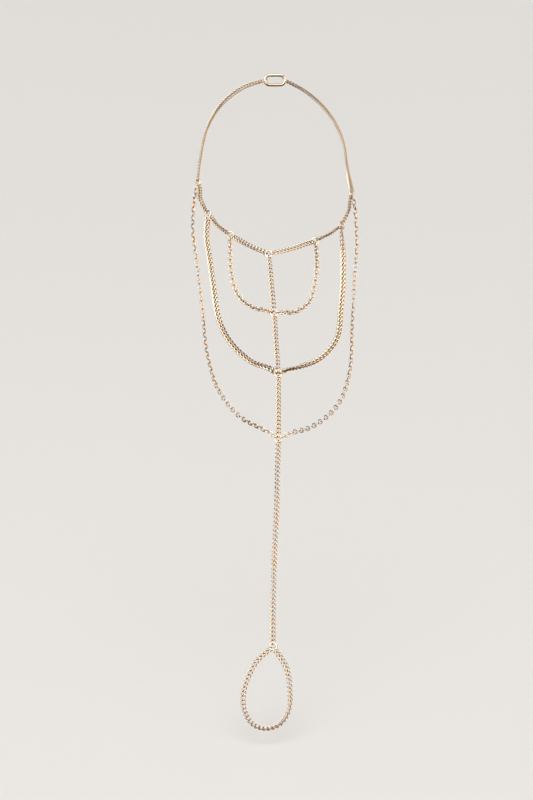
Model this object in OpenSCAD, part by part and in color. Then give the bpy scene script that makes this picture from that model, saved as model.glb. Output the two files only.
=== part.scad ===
// Barefoot sandal: an anklet of curb chain that dips to a V at the front, a curb chain down
// the middle of the instep, three pairs of drapes beside it and a toe loop.
// The middle of the anklet's two sides is at the origin, up is +Z and the toe loop lies towards -Y.
// Each chain is cut where a jump ring joins it to the next one.

/* [Fit] */
// Size of the whole sandal, in percent of a medium adult size
fit_size = 100; // [94:1:108]

/* [Jump rings] */
// Outer diameter of a jump ring
ring_d = 3.2; // [3.1:0.1:3.5]
// Thickness of a jump ring's wire
ring_wire = 0.65; // [0.5:0.05:0.65]

/* [Curb chain] */
// Width of a curb link
curb_w = 2.1; // [2:0.1:2.3]
// Thickness of a curb link's wire
curb_wire = 0.45; // [0.4:0.05:0.45]
// Distance from one curb link to the next
curb_pitch = 1.56; // [1.5:0.02:1.8]

/* [Rolo chain] */
// Thickness of a round link's wire
rolo_wire = 0.38; // [0.34:0.02:0.38]
// Distance from one round link to the next
rolo_pitch = 1.29; // [1.25:0.01:1.4]

/* [Other chains] */
// Thickness of the close curb chain of the middle drapes
close_curb_w = 2; // [1.6:0.1:2]
// Thickness of the cable chain of the outer drapes
cable_w = 1.6; // [1.4:0.1:1.8]
// Thickness of the curb chain of the anklet, which hangs twisted
ankle_w = 1.9; // [1.6:0.1:2]

/* [Clasp] */
// Length of the clasp, at the back of the anklet
clasp_l = 9; // [8:0.5:12]
// Width of the clasp
clasp_w = 5; // [4:0.5:6]
// Thickness of the clasp's wire
clasp_wire = 1.1; // [0.8:0.1:1.3]

/* [Hidden] */
$fn = 32;

gold = [0.86, 0.70, 0.48];
pale_gold = [0.93, 0.80, 0.60];

// Clear space between the wires of two links that hold each other, and of a link and a jump ring
link_gap = 0.17;
ring_gap = 0.13;
// Clear space from the edge of a jump ring to the end of a swept chain
tube_gap = 0.7;
// How far a chain runs straight out of a jump ring, and how far it goes on facing as the ring does
lead = 1.6;
blend = 12;
// Height of a curb link's twist, above and below its middle
curb_rise = 0.44;
// Links at each end of a curb chain that turn on edge to hold the jump ring
turn_links = 3;
// Rings along a curb link and sides of its wire
curb_steps = 10;
wire_sides = 5;
// Sides of a swept chain, and how far apart its rings lie
tube_sides = 8;
tube_step = 7;
// Radius that the anklet bends to between two jump rings
ankle_bend = 29;
// Short steps in each stretch of a smooth route
curve_steps = 6;

// Columns of a jump ring's row: where it sits, and the way it faces
at = 0;
face = 1;
front = [[-2.5, -35.5, -20], [0, -4, 3]];
inner_left = [[-17, -29.5, -14], [-2, -5, 3]];
inner_right = [[15, -31, -16], [2, -5, 3]];
middle_left = [[-25.5, -19, -8.5], [-5, -6, 3]];
middle_right = [[25, -20.5, -12.5], [5, -6, 3]];
outer_left = [[-29.5, -6, 1], [-8, -5, 3]];
outer_right = [[29, -10, -2.5], [8, -5, 3]];
instep_top = [[-0.5, -50, -39], [0, -4, 3]];
instep_middle = [[1, -65.5, -58], [0, -4, 3]];
instep_low = [[1, -81.5, -78], [0, -5, 3]];
toe = [[-1, -121, -143], [0, -5, 4]];
clasp_at = [0, 38, 33];

// The middle line that the chains hang round, as height and place along Y, and the toe loop's
// middle and direction
middle_line = [[-165, -130], [-80, -45], [-20, 0], [40, 4]];
loop_middle = [-3, -133, -157];
loop_along = [0, -4, -1];

// Points that each chain passes on its way from one jump ring to the next
ankle_back_left = [[-28.5, 3, 10], [-26, 14, 19], [-19.5, 26, 27], [-11, 34, 31.5]];
ankle_back_right = [[28, 0, 4], [26, 13, 14.5], [20, 25, 23.5], [11, 34, 30]];
lower_instep = [[0.5, -90.5, -98.5], [-0.5, -101, -117.5], [-1, -112, -132.5]];
inner_left_way = [[-17, -32.5, -19], [-16.5, -37, -26.5], [-13.5, -42.5, -34.5], [-7.5, -47, -38]];
inner_right_way = [[15.5, -34, -21.5], [15, -38.5, -29], [12, -44, -37], [6.5, -47.5, -39.5]];
middle_left_way = [
    [-26, -22, -14.5], [-24.5, -28, -25], [-23, -34, -34.5], [-21, -42, -44],
    [-16.5, -50, -50.5], [-9, -57.5, -55.5]
];
middle_right_way = [
    [25.5, -24.5, -20.5], [25.5, -30.5, -31], [24.5, -38, -41],
    [23, -46.5, -49.5], [17, -54, -55], [8, -61, -57]
];
outer_left_way = [
    [-31, -6.5, -6], [-31.5, -11.5, -15.5], [-30, -18, -26.5], [-27.5, -29.5, -43], [-25.5, -43.5, -56.5],
    [-21, -57.5, -66.5], [-12.5, -70, -73.5]
];
outer_right_way = [
    [30.5, -9.5, -9.5], [31, -14.5, -20], [30, -21.5, -35], [29, -31.5, -50.5], [28, -43, -62.5],
    [23, -59, -72], [13, -72, -76.5]
];
toe_way = [
    [-6.5, -124, -147], [-9.5, -127, -151.5], [-11.5, -131, -157], [-11, -135, -162],
    [-8, -138.5, -165.5], [-3.5, -140, -166.5], [1, -139, -165.5], [4.5, -135.5, -161.5],
    [5, -131, -156], [3.5, -125.5, -148.5]
];

ring_r = (ring_d - ring_wire) / 2;
// Extra reach of a chain's first and last link past the middle of the jump ring's wire
held = ring_wire + 2 * ring_gap - link_gap;
clasp_reach = (clasp_l - clasp_wire) / 2;

function unit(v) = v / norm(v);

function fitted(p) = p * fit_size / 100;

function fitted_all(points) = [for (p = points) fitted(p)];

// The part of v that lies in the plane facing n
function in_plane(v, n) = v - (v * unit(n)) * unit(n);

// The way outwards at p, from the middle line
from_middle = function (p) p - [0, lookup(p.z, fitted_all(middle_line)), p.z];

// The way outwards at p of the toe loop, from the line through its middle
from_loop = function (p) in_plane(p - fitted(loop_middle), loop_along);

// The way that a chain's outer side faces at p: as each jump ring near its ends, and else outwards
function facing(p, s, span, a, b, away) =
    let (near_a = max(0, 1 - s / blend), near_b = max(0, 1 - (span - s) / blend))
    unit(away(p)) * (1 - near_a - near_b) + unit(a[face]) * near_a + unit(b[face]) * near_b;

// Places something at p with its X along the chain and its Z towards up
function stand(p, along, up) =
    let (x = unit(along), z = unit(in_plane(up, along)), y = cross(z, x))
    [[x.x, y.x, z.x, p.x], [x.y, y.y, z.y, p.y], [x.z, y.z, z.z, p.z], [0, 0, 0, 1]];

// Direction of the smooth curve through the points p where it passes point i
function slope(p, i) =
    i == 0 ? unit(p[1] - p[0]) :
    i == len(p) - 1 ? unit(p[i] - p[i - 1]) :
    let (before = p[i] - p[i - 1], after = p[i + 1] - p[i])
    (unit(before) * norm(after) + unit(after) * norm(before)) / (norm(before) + norm(after));

// The point a part t of the way along the curve from point i to the next one
function curve_point(p, i, t) =
    let (reach = norm(p[i + 1] - p[i]))
    p[i] * (1 + 2 * t) * (1 - t) * (1 - t) + p[i + 1] * t * t * (3 - 2 * t)
    + reach * t * (1 - t) * (slope(p, i) * (1 - t) - slope(p, i + 1) * t);

function smooth(p) =
    let (last = len(p) - 1)
    concat([for (i = [0 : last - 1], k = [0 : curve_steps - 1]) curve_point(p, i, k / curve_steps)], [p[last]]);

// How far along the path each of its points lies
function distances(path) = [
    for (i = 0, far = 0; i < len(path);
        i = i + 1, far = far + (i < len(path) ? norm(path[i] - path[i - 1]) : 0)) far
];

// The point that lies at a distance along the path, which runs on straight past its ends
function on_path(path, far, s) =
    let (last = len(path) - 1)
    s < 0 ? path[0] + unit(path[1] - path[0]) * s :
    s > far[last] ? path[last] + unit(path[last] - path[last - 1]) * (s - far[last]) :
    [for (axis = [0 : 2]) lookup(s, [for (i = [0 : last]) [far[i], path[i][axis]]])];

// A point in a jump ring's plane, at radius r from its middle on the side towards next
function beside(ring, next, r) =
    fitted(ring[at]) + unit(in_plane(next - fitted(ring[at]), ring[face])) * r;

// The smooth route of a chain from ring a's wire by its way points to ring b's wire
function route(a, way, b) =
    let (w = fitted_all(way), last = len(w) - 1)
    smooth(concat([beside(a, w[0], ring_r), beside(a, w[0], ring_r + lead)], w,
        [beside(b, w[last], ring_r + lead), beside(b, w[last], ring_r)]));

// The point of the anklet half way between two rings, out on the anklet's curve
function ankle_middle(a, b) =
    let (middle = (a[at] + b[at]) / 2, span = norm(b[at] - a[at]))
    middle + unit([middle.x, middle.y, 0]) * span * span / (8 * ankle_bend);

// The route round the back from a jump ring to one end of the clasp
function back_route(ring, way, side) =
    let (w = fitted_all(way), clasp_end = fitted(clasp_at) + [side * clasp_reach, 0, 0])
    smooth(concat([beside(ring, w[0], ring_r)], w, [clasp_end]));

// Outline points of a round wire with its middle at c and running along the tangent
function wire_ring(c, along, up, r, sides) =
    let (u = unit(cross(along, up)), v = unit(cross(u, along)))
    [for (k = [0 : sides - 1]) c + r * (cos(360 * k / sides) * u + sin(360 * k / sides) * v)];

// Triangles that join ring i of a sweep to ring j
function ring_faces(i, j, sides) = [
    for (k = [0 : sides - 1], half = [0, 1])
        let (next = (k + 1) % sides)
        half == 0 ? [i * sides + k, i * sides + next, j * sides + k]
            : [i * sides + next, j * sides + next, j * sides + k]
];

// A jump ring, round wire closed in a ring
module jump_ring(ring) {
    color(pale_gold)
        multmatrix(stand(fitted(ring[at]), cross(ring[face], [1, 0, 0]), ring[face]))
            rotate_extrude()
                translate([ring_r, 0])
                    circle(d = ring_wire);
}

// An oval of round wire that lies flat, with its length along X
module oval(length, width, wire) {
    bend_r = (width - wire) / 2;
    straight = length - width;
    for (end = [-1, 1])
        translate([end * straight / 2, 0, 0])
            rotate([0, 0, -90 * end])
                rotate_extrude(angle = 180)
                    translate([bend_r, 0])
                        circle(d = wire);
    for (side = [-1, 1])
        translate([-straight / 2, side * bend_r, 0])
            rotate([0, 90, 0])
                cylinder(h = straight, d = wire);
}

// A twisted oval of round wire, which lets equal links lie flat in a row
module curb_link(length) {
    half_l = (length - curb_wire) / 2;
    half_w = (curb_w - curb_wire) / 2;
    points = [
        for (i = [0 : curb_steps - 1])
            let (t = 360 * i / curb_steps)
            each wire_ring([half_l * cos(t), half_w * sin(t), curb_rise * sin(2 * t)],
                [-half_l * sin(t), half_w * cos(t), 2 * curb_rise * cos(2 * t)],
                [0, 0, 1], curb_wire / 2, wire_sides)
    ];
    polyhedron(points, [
        for (i = [0 : curb_steps - 1])
            each ring_faces(i, (i + 1) % curb_steps, wire_sides)
    ]);
}

// Equal curb links along a path from ring a to ring b, turned at its ends to hold the rings
module curb_chain(path, a, b, away) {
    far = distances(path);
    span = far[len(far) - 1] + held;
    count = round(span / curb_pitch);
    step = span / count;
    turn = 90 - atan(4 * curb_rise / (curb_w - curb_wire));
    for (k = [0 : count - 1]) {
        s = (k + 0.5) * step - held / 2;
        start = on_path(path, far, s - step / 2);
        end = on_path(path, far, s + step / 2);
        roll = turn * (max(0, 1 - (count - 1 - k) / turn_links) - max(0, 1 - k / turn_links));
        multmatrix(stand((start + end) / 2, end - start, facing(start, s, span, a, b, away)))
            rotate([roll, 0, 0])
                curb_link(step + 2 * curb_wire + link_gap);
    }
}

// Round links along a path from ring a to ring b, every second one flat and the first on edge
module rolo_chain(path, a, b) {
    far = distances(path);
    span = far[len(far) - 1] + held;
    count = 2 * round((span / rolo_pitch - 1) / 2) + 1;
    step = span / count;
    for (k = [0 : count - 1]) {
        s = (k + 0.5) * step - held / 2;
        start = on_path(path, far, s - step / 2);
        end = on_path(path, far, s + step / 2);
        multmatrix(stand((start + end) / 2, end - start, facing(start, s, span, a, b, from_middle)))
            rotate([k % 2 == 0 ? 90 : 0, 0, 0])
                rotate_extrude()
                    translate([(step + rolo_wire + link_gap) / 2, 0])
                        circle(d = rolo_wire);
    }
}

// A closed tube along a path, clear of the rings at its ends
module tube(path, width) {
    far = distances(path);
    trim = ring_wire / 2 + tube_gap;
    span = far[len(far) - 1] - 2 * trim;
    count = ceil(span / tube_step);
    points = [
        for (k = [0 : count])
            let (s = trim + span * k / count)
            each wire_ring(on_path(path, far, s),
                on_path(path, far, s + trim) - on_path(path, far, s - trim),
                from_middle(on_path(path, far, s)), width / 2, tube_sides)
    ];
    polyhedron(points, concat(
        [[for (k = [tube_sides - 1 : -1 : 0]) k]],
        [for (k = [0 : count - 1]) each ring_faces(k, k + 1, tube_sides)],
        [[for (k = [0 : tube_sides - 1]) count * tube_sides + k]]
    ));
}

// Half of the anklet: three runs over the front, then one round the back to the clasp
module ankle_half(rings, way, side) {
    color(gold) {
        for (i = [0 : 2])
            tube(route(rings[i], [ankle_middle(rings[i], rings[i + 1])], rings[i + 1]), ankle_w);
        tube(back_route(rings[3], way, side), ankle_w);
    }
}

module ankle_chain_left() {
    ankle_half([front, inner_left, middle_left, outer_left], ankle_back_left, -1);
}

module ankle_chain_right() {
    ankle_half([front, inner_right, middle_right, outer_right], ankle_back_right, 1);
}

module instep_chain_upper() {
    color(gold)
        for (pair = [[front, instep_top], [instep_top, instep_middle], [instep_middle, instep_low]])
            curb_chain(route(pair[0], [(pair[0][at] + pair[1][at]) / 2], pair[1]),
                pair[0], pair[1], from_middle);
}

module instep_chain_lower() {
    color(gold)
        curb_chain(route(instep_low, lower_instep, toe), instep_low, toe, from_middle);
}

module inner_drape_left() {
    color(pale_gold)
        rolo_chain(route(inner_left, inner_left_way, instep_top), inner_left, instep_top);
}

module inner_drape_right() {
    color(pale_gold)
        rolo_chain(route(inner_right, inner_right_way, instep_top), inner_right, instep_top);
}

module middle_drape_left() {
    color(gold)
        tube(route(middle_left, middle_left_way, instep_middle), close_curb_w);
}

module middle_drape_right() {
    color(gold)
        tube(route(middle_right, middle_right_way, instep_middle), close_curb_w);
}

module outer_drape_left() {
    color(pale_gold)
        tube(route(outer_left, outer_left_way, instep_low), cable_w);
}

module outer_drape_right() {
    color(pale_gold)
        tube(route(outer_right, outer_right_way, instep_low), cable_w);
}

module toe_chain() {
    color(gold)
        curb_chain(route(toe, toe_way, toe), toe, toe, from_loop);
}

module front_ring() {
    jump_ring(front);
}

module inner_ring_left() {
    jump_ring(inner_left);
}

module inner_ring_right() {
    jump_ring(inner_right);
}

module middle_ring_left() {
    jump_ring(middle_left);
}

module middle_ring_right() {
    jump_ring(middle_right);
}

module outer_ring_left() {
    jump_ring(outer_left);
}

module outer_ring_right() {
    jump_ring(outer_right);
}

module instep_ring_top() {
    jump_ring(instep_top);
}

module instep_ring_middle() {
    jump_ring(instep_middle);
}

module instep_ring_low() {
    jump_ring(instep_low);
}

module toe_ring() {
    jump_ring(toe);
}

// A plain closed oval that joins the two ends of the anklet
module clasp() {
    color(gold)
        translate(fitted(clasp_at))
            rotate([90, 0, 0])
                oval(clasp_l, clasp_w, clasp_wire);
}

ankle_chain_left();
ankle_chain_right();
instep_chain_upper();
instep_chain_lower();
inner_drape_left();
inner_drape_right();
middle_drape_left();
middle_drape_right();
outer_drape_left();
outer_drape_right();
toe_chain();
front_ring();
inner_ring_left();
inner_ring_right();
middle_ring_left();
middle_ring_right();
outer_ring_left();
outer_ring_right();
instep_ring_top();
instep_ring_middle();
instep_ring_low();
toe_ring();
clasp();
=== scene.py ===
from math import cos, floor, radians

import bpy
from mathutils import Matrix, Vector
from mathutils.bvhtree import BVHTree


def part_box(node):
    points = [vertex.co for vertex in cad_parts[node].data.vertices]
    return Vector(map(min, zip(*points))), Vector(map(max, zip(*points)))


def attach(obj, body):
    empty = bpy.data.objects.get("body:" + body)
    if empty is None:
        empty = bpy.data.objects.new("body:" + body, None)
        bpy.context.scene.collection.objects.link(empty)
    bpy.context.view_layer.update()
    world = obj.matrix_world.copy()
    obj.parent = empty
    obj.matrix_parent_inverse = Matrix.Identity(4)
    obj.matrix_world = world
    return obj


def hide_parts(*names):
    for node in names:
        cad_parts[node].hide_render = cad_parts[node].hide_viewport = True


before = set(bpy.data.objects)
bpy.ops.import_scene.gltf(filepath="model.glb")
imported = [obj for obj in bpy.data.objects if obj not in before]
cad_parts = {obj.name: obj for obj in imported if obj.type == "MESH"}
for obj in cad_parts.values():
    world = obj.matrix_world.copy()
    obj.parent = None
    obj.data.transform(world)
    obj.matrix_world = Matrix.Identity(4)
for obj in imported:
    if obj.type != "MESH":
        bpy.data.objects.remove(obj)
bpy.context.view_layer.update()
mm = 0.001
print("frame loaded,", len(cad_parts), "nodes")

# the studio: the camera stands where the photo was taken from, over a pale floor
studio = {
    "cameraPlace": (-3.3, -1000, 207),   # mm
    "cameraDrop": 16.4,                  # degrees below the horizon
    "lens": 79.47,
    "filmHeight": 24,
    "clip": (0.01, 50),                  # metres
    "floorHeight": -172,                 # mm, a little under the toe loop
    "floorSize": 9000,
    "floorColour": (0.74, 0.74, 0.73, 1),
    "floorCloud": (0.69, 0.69, 0.68, 1),
    "floorCloudShare": 0.12,
    "floorCloudScale": 3.0,              # per metre
    "floorRoughness": 0.75,
    "airColour": (1.0, 0.97, 0.94, 1),
    "airStrength": 0.030,                # between the glows
    "airSeen": 0.74,                     # what shows past the edge of the floor
    "glows": [                           # way to it, degrees where it fades out and is full, strength
        ((-0.64, -0.77, 0.10), 43, 13, 2.4),
        ((0.80, -0.62, 0.06), 40, 12, 1.9),
        ((0, -0.30, 0.95), 47, 13, 2.4),
        ((-0.68, 0.72, 0.15), 40, 14, 1.1),
        ((0.68, 0.72, 0.15), 40, 14, 1.1),
    ],
    "lights": [                          # place in mm, size in mm, watts, colour
        ((-780, -820, 260), 720, 2.4, (1.0, 0.98, 0.95)),
        ((850, -760, 200), 620, 1.4, (1.0, 0.98, 0.96)),
    ],
    "aim": (0, -50, -50),                # where the lights point
}


# one value in a node tree; arithmetic written on it adds Math nodes
class Flow:
    def __init__(self, tree, socket):
        self.tree = tree
        self.socket = socket

    def math(self, operation, first, second):
        node = self.tree.nodes.new("ShaderNodeMath")
        node.operation = operation
        for slot, value in enumerate((first, second)):
            if isinstance(value, Flow):
                self.tree.links.new(value.socket, node.inputs[slot])
            else:
                node.inputs[slot].default_value = value
        return Flow(self.tree, node.outputs[0])

    def __add__(self, other):
        return self.math("ADD", self, other)

    def __radd__(self, other):
        return self.math("ADD", other, self)

    def __sub__(self, other):
        return self.math("SUBTRACT", self, other)

    def __rsub__(self, other):
        return self.math("SUBTRACT", other, self)

    def __mul__(self, other):
        return self.math("MULTIPLY", self, other)

    def __rmul__(self, other):
        return self.math("MULTIPLY", other, self)


# the nodes of a material or of the air, while they are made
class Finish:
    def __init__(self, owner):
        owner.use_nodes = True
        self.owner = owner
        self.tree = owner.node_tree
        self.tree.nodes.clear()

    # any node: its type, its settings, then its input values or links
    def add(self, kind, settings=None, inputs=None, output=0):
        node = self.tree.nodes.new(kind)
        for key, value in (settings or {}).items():
            setattr(node, key, value)
        for key, value in (inputs or {}).items():
            if isinstance(value, Flow):
                self.tree.links.new(value.socket, node.inputs[key])
            else:
                node.inputs[key].default_value = value
        return Flow(self.tree, node.outputs[output]) if len(node.outputs) else node

    # colours go through a Mix node, whose colour sockets are numbers 6 and 7
    def mix(self, share, first, second):
        return self.add("ShaderNodeMix", {"data_type": "RGBA", "clamp_factor": True},
                        {0: share, 6: first, 7: second}, output=2)

    def noise(self, place, scale, detail):
        return self.add("ShaderNodeTexNoise", None, {"Vector": place, "Scale": scale, "Detail": detail})

    def close(self, surface):
        world = isinstance(self.owner, bpy.types.World)
        kind = "ShaderNodeOutputWorld" if world else "ShaderNodeOutputMaterial"
        self.add(kind, None, {"Surface": surface})
        return self.owner


def nothingSelected():
    if bpy.context.object and bpy.context.object.mode != "OBJECT":
        bpy.ops.object.mode_set(mode="OBJECT")
    bpy.ops.object.select_all(action="DESELECT")


def floorFinish():
    finish = Finish(bpy.data.materials.new("paleFloor"))
    place = finish.add("ShaderNodeTexCoord", output="Object")
    cloud = finish.noise(place, studio["floorCloudScale"], 2)
    colour = finish.mix(cloud * studio["floorCloudShare"], studio["floorColour"], studio["floorCloud"])
    return finish.close(finish.add("ShaderNodeBsdfPrincipled", None,
                                   {"Base Color": colour, "Roughness": studio["floorRoughness"]}))


# dim air with a few wide soft glows in it, which the metal shows
def softAir():
    air = Finish(bpy.data.worlds.new("softAir"))
    way = air.add("ShaderNodeTexCoord", output="Generated")
    strength = studio["airStrength"]
    for direction, faded, full, glow in studio["glows"]:
        facing = air.add("ShaderNodeVectorMath", {"operation": "DOT_PRODUCT"},
                         {0: way, 1: Vector(direction).normalized()}, output="Value")
        edge, middle = cos(radians(faded)), cos(radians(full))
        values = {"Value": facing, "From Min": edge, "From Max": middle, "To Max": glow}
        strength = strength + air.add("ShaderNodeMapRange", {"interpolation_type": "SMOOTHSTEP"}, values)
    seen = air.add("ShaderNodeLightPath", output="Is Camera Ray")
    strength = strength * (1 - seen) + seen * studio["airSeen"]
    return air.close(air.add("ShaderNodeBackground", None,
                             {"Color": studio["airColour"], "Strength": strength}))


def setStudio():
    scene = bpy.context.scene
    nothingSelected()
    bpy.ops.object.camera_add(location=Vector(studio["cameraPlace"]) * mm,
                              rotation=(radians(90 - studio["cameraDrop"]), 0, 0))
    camera = bpy.context.object
    camera.data.sensor_fit = "VERTICAL"
    camera.data.sensor_height = studio["filmHeight"]
    camera.data.lens = studio["lens"]
    camera.data.clip_start, camera.data.clip_end = studio["clip"]
    scene.camera = camera
    scene.world = softAir()
    scene.view_settings.view_transform = "Standard"

    for place, size, watts, colour in studio["lights"]:
        lamp = Vector(place) * mm
        turn = (Vector(studio["aim"]) * mm - lamp).to_track_quat("-Z", "Y").to_euler()
        bpy.ops.object.light_add(type="AREA", location=lamp, rotation=turn)
        light = bpy.context.object.data
        light.shape = "SQUARE"
        light.size = size * mm
        light.energy = watts
        light.color = colour

    nothingSelected()
    floorPlace = (0, 0, studio["floorHeight"] * mm)
    bpy.ops.mesh.primitive_plane_add(size=studio["floorSize"] * mm, location=floorPlace)
    ground = bpy.context.object
    ground.name = "paleFloor"
    ground.visible_glossy = False
    ground.data.materials.append(floorFinish())


setStudio()
print("camera, floor and lights set")

# the pale gold plate that every piece has; each piece's own tone is beside its code
plate = {
    "rose": (0.90, 0.66, 0.45, 1),       # where the plating is redder
    "paintedShade": (0.12, 0.055, 0.025, 1),  # colour of the painted shade between the links
    "cloudScale": 160,                   # per metre
    "grainScale": 5200,
    "scratchScale": (16000, 2500, 5200),
    "roseCloud": 0.35,                   # how much of the rose tone the clouds bring
    "roseTint": 0.3,                     # and a link's own tint
    "grainRoughness": 0.10,
    "tintRoughness": 0.05,
    "hollowRoughness": 0.22,
    "scratchDepth": 0.01,                # mm
    "shadeReach": 0.34,                 # mm, how near to a neighbour the painted shade and the rougher plating reach
    "holeShade": 0.7,                  # how much painted shade, and roughness, falls towards the link's own hole
    "tintStep": 0.618,                   # from link to link, of a whole tint
    "sharp": 62,                         # degrees, the edges that shading keeps
}
sameSpot = 0.01 * mm                     # places nearer than this count as one
linkSides = {"around": 14, "sides": 7}   # few, because the chains have hundreds of links


def goldFinish(name, look):
    finish = Finish(bpy.data.materials.new(name))
    place = finish.add("ShaderNodeTexCoord", output="Object")
    stretched = finish.add("ShaderNodeMapping", None, {"Vector": place, "Scale": plate["scratchScale"]})
    cloud = finish.noise(place, plate["cloudScale"], 2)
    grain = finish.noise(place, plate["grainScale"], 3)
    scratch = finish.noise(stretched, 1, 4)
    shadeMask = finish.add("ShaderNodeAttribute", {"attribute_name": "shadeMask"}, output="Fac")
    tint = finish.add("ShaderNodeAttribute", {"attribute_name": "tint"}, output="Fac")
    tone = finish.mix(cloud * plate["roseCloud"] + tint * plate["roseTint"], look["tone"], plate["rose"])
    # painted shade: the tone turns dark brown in each link's hole and where it meets its neighbours
    tone = finish.mix(shadeMask * look["paintedShade"], tone, plate["paintedShade"])
    roughness = (look["roughness"] + grain * plate["grainRoughness"] + tint * plate["tintRoughness"]
                 + shadeMask * plate["hollowRoughness"])
    depth = plate["scratchDepth"] * mm
    bump = finish.add("ShaderNodeBump", None,
                      {"Strength": look["scratches"], "Distance": depth, "Height": scratch}, output="Normal")
    return finish.close(finish.add("ShaderNodeBsdfPrincipled", None, {
        "Base Color": tone, "Metallic": 1.0, "Roughness": roughness, "Normal": bump}))


# leaves only the vertices that pass the test selected, in edit mode
def pick(piece, test):
    bpy.ops.object.mode_set(mode="EDIT")
    bpy.ops.mesh.select_mode(type="VERT")
    bpy.ops.mesh.select_all(action="DESELECT")
    bpy.ops.object.mode_set(mode="OBJECT")
    for vertex in piece.data.vertices:
        vertex.select = test(vertex.co)
    bpy.ops.object.mode_set(mode="EDIT")


# a ring of wire pulled apart at its middle into an oval along X; sizes in mm, and flat is how thick
# the wire is through the ring for each mm across it
def startOval(length, width, wire, around, sides, flat=1):
    nothingSelected()
    bpy.ops.mesh.primitive_torus_add(major_segments=around, minor_segments=sides,
                                     major_radius=(width - wire) / 2 * mm, minor_radius=wire / 2 * mm)
    oval = bpy.context.object
    for side in (-1, 1):
        pick(oval, lambda co: co.x * side > sameSpot)
        bpy.ops.transform.translate(value=(side * (length - width) / 2 * mm, 0, 0))
    bpy.ops.mesh.select_all(action="SELECT")
    bpy.ops.transform.resize(value=(1, 1, flat))
    bpy.ops.object.mode_set(mode="OBJECT")
    return oval


# smooths the link, and notes on each vertex how much painted shade it gets, and how much rougher it is:
# facing into the link's own hole, or close to a neighbour, whose places are given
def finishLink(link, length, width, neighbours=()):
    bpy.ops.object.mode_set(mode="EDIT")
    bpy.ops.mesh.select_all(action="SELECT")
    bpy.ops.mesh.normals_make_consistent(inside=False)
    bpy.ops.object.mode_set(mode="OBJECT")
    bpy.ops.object.shade_smooth_by_angle(angle=radians(plate["sharp"]))
    mesh = link.data
    faces = [face.vertices for face in mesh.polygons]
    others = [BVHTree.FromPolygons([place @ vertex.co for vertex in mesh.vertices], faces)
              for place in neighbours]
    reach = (length - width) / 2 * mm
    near = plate["shadeReach"] * mm
    # the painted shade mask, also read for roughness
    shadeMask = mesh.attributes.new("shadeMask", "FLOAT", "POINT")
    for vertex in mesh.vertices:
        inward = Vector((max(-reach, min(reach, vertex.co.x)), 0, 0)) - vertex.co
        gaps = [other.find_nearest(vertex.co + vertex.normal * near)[3] for other in others]
        touch = max(0, 1 - min(gaps) / near) if gaps else 0
        hole = max(0, vertex.normal.dot(inward.normalized())) * plate["holeShade"]
        shadeMask.data[vertex.index].value = min(1, hole + touch)
    mesh.attributes.new("tint", "FLOAT", "POINT")
    return link


# the kth copy of a finished link or ring, with its own mesh and its own tint
def copyOf(model, k):
    copy = model.copy()
    copy.data = model.data.copy()
    bpy.context.collection.objects.link(copy)
    share = (k * plate["tintStep"]) % 1
    copy.data.attributes["tint"].data.foreach_set("value", [share] * len(copy.data.vertices))
    return copy


# where the links before and after a link lie, seen from it
def linkNeighbours(chain):
    turn = Matrix.Rotation(radians(chain["crossing"]), 4, "X")
    return [Matrix.Translation((side * chain["pitch"] * mm, 0, 0)) @ turn for side in (-1, 1)]


# routes: the frame's own way points, in mm, and the way that each jump ring faces
ringFacing = {
    "front_ring": (0, -4, 3), "inner_ring_left": (-2, -5, 3), "inner_ring_right": (2, -5, 3),
    "middle_ring_left": (-5, -6, 3), "middle_ring_right": (5, -6, 3),
    "outer_ring_left": (-8, -5, 3), "outer_ring_right": (8, -5, 3),
    "instep_ring_top": (0, -4, 3), "instep_ring_middle": (0, -4, 3), "instep_ring_low": (0, -5, 3),
    "toe_ring": (0, -5, 4),
}
claspFacing = (0, 1, 0)
# what the chains go round: the middle line of the whole, as height and place along Y, and of the toe loop
inside = {
    "middle": [(-165, -130), (-80, -45), (-20, 0), (40, 4)],
    "loopMiddle": (-3, -133, -157),
    "loopAlong": (0, -4, -1),
}
fit = {
    "ringDiameter": 3.2,
    "ringWire": 0.65,
    "reach": 0.37,  # a chain's end links reach past the middle of the jump ring's wire by this
    "lead": 1.6,    # a chain leaves a jump ring straight for this far
    "blend": 12,    # and faces as the ring does, fading over this far
    "steps": 6,     # points from one way point of a route to the next
}
ringRadius = (fit["ringDiameter"] - fit["ringWire"]) / 2


def inPlane(v, facing):
    n = facing.normalized()
    return v - v.dot(n) * n


def middleOf(node):
    low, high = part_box(node)
    return (low + high) / 2 / mm


def fromMiddle(p):
    rows = inside["middle"]
    height = max(rows[0][0], min(rows[-1][0], p.z))
    for (z0, y0), (z1, y1) in zip(rows, rows[1:]):
        if z0 <= height <= z1:
            return p - Vector((0, y0 + (y1 - y0) * (height - z0) / (z1 - z0), p.z))


def fromLoopMiddle(p):
    return inPlane(p - Vector(inside["loopMiddle"]), Vector(inside["loopAlong"]))


# X along the chain, Z towards up; the place comes in mm and goes out in metres
def stand(p, along, up):
    x = along.normalized()
    z = inPlane(up, along).normalized()
    turn = Matrix((x, z.cross(x), z)).transposed()
    return Matrix.Translation(p * mm) @ turn.to_4x4()


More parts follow.
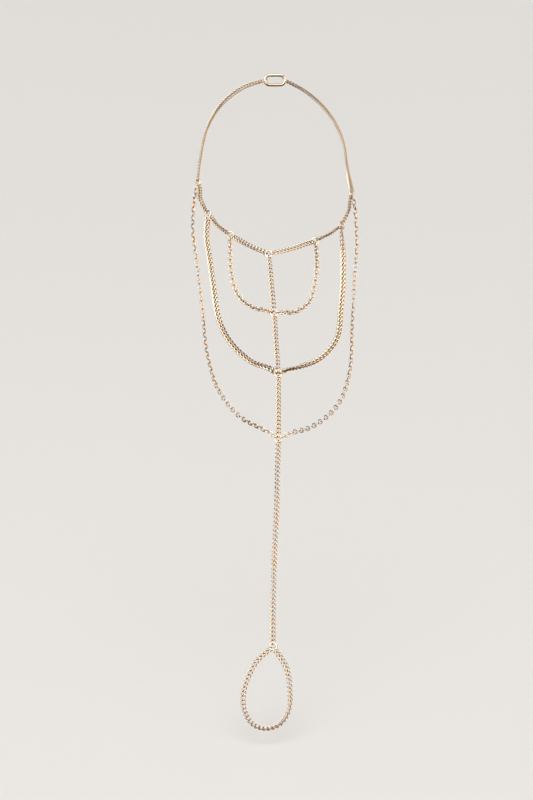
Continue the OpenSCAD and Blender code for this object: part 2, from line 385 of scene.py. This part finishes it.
class Path:
    def __init__(self, points):
        p = points
        last = len(p) - 1
        slopes = [(p[1] - p[0]).normalized()]
        for i in range(1, last):
            before, after = p[i] - p[i - 1], p[i + 1] - p[i]
            total = before.length + after.length
            slopes.append((before.normalized() * after.length + after.normalized() * before.length) / total)
        slopes.append((p[last] - p[last - 1]).normalized())
        self.points = []
        for i in range(last):
            reach = (p[i + 1] - p[i]).length
            for k in range(fit["steps"]):
                t = k / fit["steps"]
                u = 1 - t
                bow = reach * t * u * (slopes[i] * u - slopes[i + 1] * t)
                self.points.append(p[i] * (1 + 2 * t) * u * u + p[i + 1] * t * t * (3 - 2 * t) + bow)
        self.points.append(p[last])
        self.far = [0]
        for a, b in zip(self.points, self.points[1:]):
            self.far.append(self.far[-1] + (b - a).length)

    # the point at a distance along the path, which runs on straight past its ends
    def at(self, s):
        i = 0
        while i < len(self.points) - 2 and s > self.far[i + 1]:
            i += 1
        a, b = self.points[i], self.points[i + 1]
        return a + (b - a).normalized() * (s - self.far[i])


def beside(ring, toward, r):
    centre = middleOf(ring)
    return centre + inPlane(toward - centre, Vector(ringFacing[ring])).normalized() * r


def route(ringA, way, ringB):
    way = [Vector(p) for p in way]
    return Path([beside(ringA, way[0], ringRadius), beside(ringA, way[0], ringRadius + fit["lead"])] + way
                + [beside(ringB, way[-1], ringRadius + fit["lead"]), beside(ringB, way[-1], ringRadius)])


# which way is up for a chain: away from the middle, but at its ends as its rings or the clasp face
def facingAt(p, s, span, ringA, ringB, away):
    nearA = max(0, 1 - s / fit["blend"])
    nearB = max(0, 1 - (span - s) / fit["blend"])
    return (away(p).normalized() * (1 - nearA - nearB)
            + Vector(ringFacing[ringA]).normalized() * nearA
            + Vector(ringFacing.get(ringB, claspFacing)).normalized() * nearB)


# the value at a share of the way along an evenly spaced list
def along(values, share):
    place = max(0, min(1, share)) * (len(values) - 1)
    k = min(floor(place), len(values) - 2)
    return values[k] + (values[k + 1] - values[k]) * (place - k)


# copies of a link along a path; rolls are the links' turns about the run, in degrees and evenly
# spaced along it, and catch is a larger last link
def layLinks(chain, path, ringA, ringB, away, rolls, catch=None):
    begin = -fit["reach"]
    end = path.far[-1] + (catch["reach"] if catch else fit["reach"])
    span = end - begin
    inner = span - (catch["step"] if catch else 0)
    if chain["crossing"]:
        count = 2 * floor((inner / chain["pitch"] - 1) / 2 + 0.5) + 1
    else:
        count = floor(inner / chain["pitch"] + 0.5)
    rows = [(chain["link"], inner / count, chain["crossing"] * (1 - k % 2)) for k in range(count)]
    if catch:
        rows.append((catch["link"], catch["step"], catch["roll"]))
    copies = []
    for k, (model, step, roll) in enumerate(rows):
        first, last = path.at(begin), path.at(begin + step)
        middle = begin + step / 2
        begin += step
        copy = copyOf(model, k)
        up = facingAt(first, middle, span, ringA, ringB, away)
        roll += along(rolls, (middle + fit["reach"]) / span)
        turn = Matrix.Rotation(radians(roll), 4, "X")
        copy.matrix_world = stand((first + last) / 2, last - first, up) @ turn
        copies.append(copy)
    return copies


# joins the copies into one piece whose place is in its mesh
def joinPiece(name, copies, material, slot, *nodes):
    nothingSelected()
    for copy in copies:
        copy.select_set(True)
    bpy.context.view_layer.objects.active = copies[0]
    if len(copies) > 1:
        bpy.ops.object.join()
    bpy.ops.object.transform_apply(location=True, rotation=True, scale=True)
    piece = bpy.context.object
    piece.name = name
    piece.data.name = name
    piece.data.materials.clear()
    piece.data.materials.append(material)
    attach(piece, "root")
    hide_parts(*nodes)
    print(name, len(copies), "parts,", len(piece.data.polygons), "faces")
    return piece


# in the chains' dictionaries lengths are mm and angles degrees: pitch is from link to link, slack how far
# a link can slide on the next, crossing the turn from link to link, twist that of one link from end to
# end, and ground how far from its middle a curb link is ground flat
# the curb link: an oval twisted about its length, with its upper and lower shoulders ground flat
def makeCurbLink(curb):
    length = curb["pitch"] + 2 * curb["wire"] + curb["slack"]
    link = startOval(length, curb["width"], curb["wire"], **linkSides, flat=curb["flat"])
    twist = link.modifiers.new("twist", "SIMPLE_DEFORM")
    twist.deform_method = "TWIST"
    twist.deform_axis = "X"
    twist.angle = radians(curb["twist"])
    bpy.ops.object.modifier_apply(modifier="twist")
    for side in (-1, 1):
        pick(link, lambda co: co.z * side > curb["ground"] * mm)
        bpy.ops.transform.resize(value=(1, 1, 0), center_override=(0, 0, side * curb["ground"] * mm))
    return finishLink(link, length, curb["width"], linkNeighbours(curb))


# clasp: one plain closed oval
# each piece's finish below gives its tone and the share of painted shade in its links' hollows
clasp = {
    "tone": (0.95, 0.79, 0.60, 1), "paintedShade": 0.5, "roughness": 0.18, "scratches": 0.3,
    "wire": 1.1, "around": 32, "sides": 12,
}

# anklet
anklet = {
    "tone": (0.94, 0.75, 0.545, 1), "paintedShade": 0.9, "roughness": 0.16, "scratches": 0.25,
    "pitch": 1.32, "width": 2.05, "wire": 0.47, "flat": 0.87, "slack": 0.10, "twist": 118, "ground": 0.5,
    "crossing": 0,
    "bend": 29,                       # radius of the anklet between two jump rings
    "left": {                         # rolls of the runs, front to back, and the way to the clasp
        "rolls": [(-46, -54, -58, -54, -44, -28, -4, 23, 48),
                  (-52, -60, -58, -50, -38, -22, -1, 21, 46),
                  (-42, -16, 12, 34, 46, 52, 52, 50, 48),
                  (-40, 8, 10, -30, -59)],
        "back": [(-28.5, 3, 10), (-26, 14, 19), (-19.5, 26, 27), (-11, 34, 31.5)],
    },
    "right": {
        "rolls": [(-44, -21, -8, -9, -12, -14, -14, 10, 44),
                  (-52, -58, -61, -64, -68, -74, -84, -102, -130),
                  (-55, -74, -80, -84, -88, -92, -98, -110, -126),
                  (-44, -20, -10, -30, -59)],
        "back": [(28, 0, 4), (26, 13, 14.5), (20, 25, 23.5), (11, 34, 30)],
    },
    "catch": {                        # the larger link at each side of the clasp
        "length": 3.0, "width": 2.3, "wire": 0.5, "around": 18, "sides": 8,
        "step": 1.94, "reach": 0.70, "roll": 149,
    },
}


# the middle of a run, bowed out as on a cylinder
def bowMiddle(ringA, ringB):
    a, b = middleOf(ringA), middleOf(ringB)
    middle = (a + b) / 2
    span = (b - a).length
    return middle + Vector((middle.x, middle.y, 0)).normalized() * span * span / (8 * anklet["bend"])


def makeAnklet():
    anklet["link"] = makeCurbLink(anklet)
    catch = anklet["catch"]
    oval = startOval(catch["length"], catch["width"], catch["wire"], catch["around"], catch["sides"])
    catch["link"] = finishLink(oval, catch["length"], catch["width"])
    material = goldFinish("ankletGold", anklet)
    low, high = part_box("clasp")
    claspEnd = (high.x - low.x) / 2 / mm - clasp["wire"] / 2
    for side, word in ((-1, "left"), (1, "right")):
        half = anklet[word]
        rings = ["front_ring", "inner_ring_" + word, "middle_ring_" + word, "outer_ring_" + word]
        copies = []
        for ringA, ringB, rolls in zip(rings, rings[1:], half["rolls"]):
            path = route(ringA, [bowMiddle(ringA, ringB)], ringB)
            copies += layLinks(anklet, path, ringA, ringB, fromMiddle, rolls)
        way = [Vector(p) for p in half["back"]]
        last = middleOf("clasp") + Vector((side * claspEnd, 0, 0))
        path = Path([beside(rings[3], way[0], ringRadius)] + way + [last])
        copies += layLinks(anklet, path, rings[3], "clasp", fromMiddle, half["rolls"][3], catch)
        joinPiece("anklet_" + word, copies, material, "anklet", "ankle_chain_" + word)
    bpy.data.objects.remove(anklet["link"])
    bpy.data.objects.remove(catch["link"])


makeAnklet()

# instep and toe chain
instep = {
    "tone": (0.94, 0.75, 0.545, 1), "paintedShade": 0.9, "roughness": 0.16, "scratches": 0.25,
    "pitch": 1.56, "width": 2.14, "wire": 0.45, "flat": 0.96, "slack": 0.10, "twist": 120, "ground": 0.54,
    "crossing": 0,
    "upperRolls": (-34, -12, -3, 0, 3, 12, 32),
    "lowerRolls": (-28, -22, -24, -24, -24, -20, 28),
    "toeRolls": (-24, -41, -58, -70, -68, -62, -60, -60, -62, -60, -50, -24, 28),
    "lower": [(0.5, -90.5, -98.5), (-0.5, -101, -117.5), (-1, -112, -132.5)],
    "toe": [(-6.5, -124, -147), (-9.5, -127, -151.5), (-11.5, -131, -157), (-11, -135, -162),
            (-8, -138.5, -165.5), (-3.5, -140, -166.5), (1, -139, -165.5), (4.5, -135.5, -161.5),
            (5, -131, -156), (3.5, -125.5, -148.5)],
}


def makeInstep():
    instep["link"] = makeCurbLink(instep)
    material = goldFinish("instepGold", instep)
    upper = []
    rings = ["front_ring", "instep_ring_top", "instep_ring_middle", "instep_ring_low"]
    for ringA, ringB in zip(rings, rings[1:]):
        path = route(ringA, [(middleOf(ringA) + middleOf(ringB)) / 2], ringB)
        upper += layLinks(instep, path, ringA, ringB, fromMiddle, instep["upperRolls"])
    joinPiece("instep_upper", upper, material, "instep_chain", "instep_chain_upper")
    path = route("instep_ring_low", instep["lower"], "toe_ring")
    lower = layLinks(instep, path, "instep_ring_low", "toe_ring", fromMiddle, instep["lowerRolls"])
    joinPiece("instep_lower", lower, material, "instep_chain", "instep_chain_lower")
    path = route("toe_ring", instep["toe"], "toe_ring")
    loop = layLinks(instep, path, "toe_ring", "toe_ring", fromLoopMiddle, instep["toeRolls"])
    joinPiece("toe_loop", loop, material, "instep_chain", "toe_chain")
    bpy.data.objects.remove(instep["link"])


makeInstep()


# the left and right drape of one kind, from its ring on the anklet to its ring on the instep chain
def makeDrapes(kind, drape, instepRing):
    material = goldFinish(kind + "DrapeGold", drape)
    for word in ("left", "right"):
        ring = kind + "_ring_" + word
        path = route(ring, drape[word]["way"], instepRing)
        copies = layLinks(drape, path, ring, instepRing, fromMiddle, drape[word]["rolls"])
        joinPiece(kind + "_drape_chain_" + word, copies, material, kind + "_drape", kind + "_drape_" + word)
    bpy.data.objects.remove(drape["link"])


# inner drapes: rolo chain, round links of D wire that is flat inside
rolo = {
    "tone": (0.95, 0.775, 0.58, 1), "paintedShade": 0.85, "roughness": 0.14, "scratches": 0.2,
    "pitch": 1.29, "wire": 0.43, "slack": 0.08, "innerFlat": 0.6,
    "crossing": 90,
    "left": {
        "way": [(-17, -32.5, -19), (-16.5, -37, -26.5), (-13.5, -42.5, -34.5), (-7.5, -47, -38)],
        "rolls": (0, -5, -20, -29, -33, -32, -32, -40, -48, -50, -45, -32, -8),
    },
    "right": {
        "way": [(15.5, -34, -21.5), (15, -38.5, -29), (12, -44, -37), (6.5, -47.5, -39.5)],
        "rolls": (0, -15, -17, 12, 30, 31, 30, 35, 50, 52, 43, 25, -12),
    },
}


def makeRoloLink():
    across = rolo["pitch"] + 2 * rolo["wire"] + rolo["slack"]
    link = startOval(across, across, rolo["wire"], **linkSides)
    radius = (across - rolo["wire"]) / 2 * mm
    inner = radius - rolo["wire"] / 2 * mm
    grown = (radius - rolo["innerFlat"] * rolo["wire"] / 2 * mm) / inner
    pick(link, lambda co: co.xy.length < inner + sameSpot)
    bpy.ops.transform.resize(value=(grown, grown, 1), center_override=(0, 0, 0))
    bpy.ops.object.mode_set(mode="OBJECT")
    return finishLink(link, across, across, linkNeighbours(rolo))


rolo["link"] = makeRoloLink()
makeDrapes("inner", rolo, "instep_ring_top")

# middle drapes: a closer curb chain of thicker, flatter wire
closeCurb = {
    "tone": (0.94, 0.75, 0.545, 1), "paintedShade": 0.9, "roughness": 0.16, "scratches": 0.3,
    "pitch": 1.75, "width": 2.3, "wire": 0.70, "flat": 0.71, "slack": 0.11, "twist": 118, "ground": 0.5,
    "crossing": 0,
    "left": {
        "way": [(-26, -22, -14.5), (-24.5, -28, -25), (-23, -34, -34.5), (-21, -42, -44),
                (-16.5, -50, -50.5), (-9, -57.5, -55.5)],
        "rolls": (-50, -58, -62, -62, -60, -54, -42, -28, -16, -8, -2, 17, 42),
    },
    "right": {
        "way": [(25.5, -24.5, -20.5), (25.5, -30.5, -31), (24.5, -38, -41), (23, -46.5, -49.5),
                (17, -54, -55), (8, -61, -57)],
        "rolls": (-50, 2, 53, 55, 57, 60, 66, 69, 61, 52, 56, 76, 42),
    },
}
closeCurb["link"] = makeCurbLink(closeCurb)
makeDrapes("middle", closeCurb, "instep_ring_middle")

# outer drapes: cable chain, ovals of round wire
cable = {
    "tone": (0.95, 0.775, 0.58, 1), "paintedShade": 0.85, "roughness": 0.14, "scratches": 0.2,
    "pitch": 1.74, "width": 1.8, "wire": 0.38, "slack": 0.08,
    "crossing": 90,
    "left": {
        "way": [(-31, -6.5, -6), (-31.5, -11.5, -15.5), (-30, -18, -26.5), (-27.5, -29.5, -43),
                (-25.5, -43.5, -56.5), (-21, -57.5, -66.5), (-12.5, -70, -73.5)],
        "rolls": (-15, -31, -28, -69, -70, -69, -24, -20, -32, -43, -33, 18, 20),
    },
    "right": {
        "way": [(30.5, -9.5, -9.5), (31, -14.5, -20), (30, -21.5, -35), (29, -31.5, -50.5),
                (28, -43, -62.5), (23, -59, -72), (13, -72, -76.5)],
        "rolls": (20, 52, 50, 73, 71, 33, 43, 47, 58, 46, 32, 18, -8),
    },
}


def makeCableLink():
    length = cable["pitch"] + 2 * cable["wire"] + cable["slack"]
    link = startOval(length, cable["width"], cable["wire"], **linkSides)
    return finishLink(link, length, cable["width"], linkNeighbours(cable))


cable["link"] = makeCableLink()
makeDrapes("outer", cable, "instep_ring_low")

# jump rings: round wire bent closed, with a fine seam where its ends meet
jumpRing = {
    "tone": (0.96, 0.80, 0.62, 1), "paintedShade": 0.6, "roughness": 0.12, "scratches": 0.25,
    "around": 28, "sides": 10,
    "seam": 0.82,                     # of the wire's thickness, where its ends meet
    "seamTurn": 35, "seamStep": 77,   # degrees round the first ring, and more for each next one
}


def makeJumpRings():
    wire = fit["ringWire"]
    model = startOval(fit["ringDiameter"], fit["ringDiameter"], wire, jumpRing["around"], jumpRing["sides"])
    seamAt = Vector((ringRadius * mm, 0, 0))
    pick(model, lambda co: abs(co.y) < sameSpot and co.x > 0)
    bpy.ops.transform.resize(value=(jumpRing["seam"],) * 3, center_override=seamAt)
    bpy.ops.object.mode_set(mode="OBJECT")
    finishLink(model, fit["ringDiameter"], fit["ringDiameter"])
    material = goldFinish("jumpRingGold", jumpRing)
    for k, (node, facing) in enumerate(ringFacing.items()):
        ring = copyOf(model, k)
        up = Vector(facing)
        seamTurn = Matrix.Rotation(radians(jumpRing["seamTurn"] + k * jumpRing["seamStep"]), 4, "Z")
        ring.matrix_world = stand(middleOf(node), up.cross(Vector((1, 0, 0))), up) @ seamTurn
        joinPiece("jump_" + node, [ring], material, "jump_ring", node)
    bpy.data.objects.remove(model)


makeJumpRings()


def makeClasp():
    low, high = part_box("clasp")
    length, width = (high.x - low.x) / mm, (high.z - low.z) / mm
    piece = startOval(length, width, clasp["wire"], clasp["around"], clasp["sides"])
    finishLink(piece, length, width)
    piece.matrix_world = Matrix.Translation((low + high) / 2) @ Matrix.Rotation(radians(90), 4, "X")
    joinPiece("anklet_clasp", [piece], goldFinish("claspGold", clasp), "clasp", "clasp")


makeClasp()
print("all pieces made")
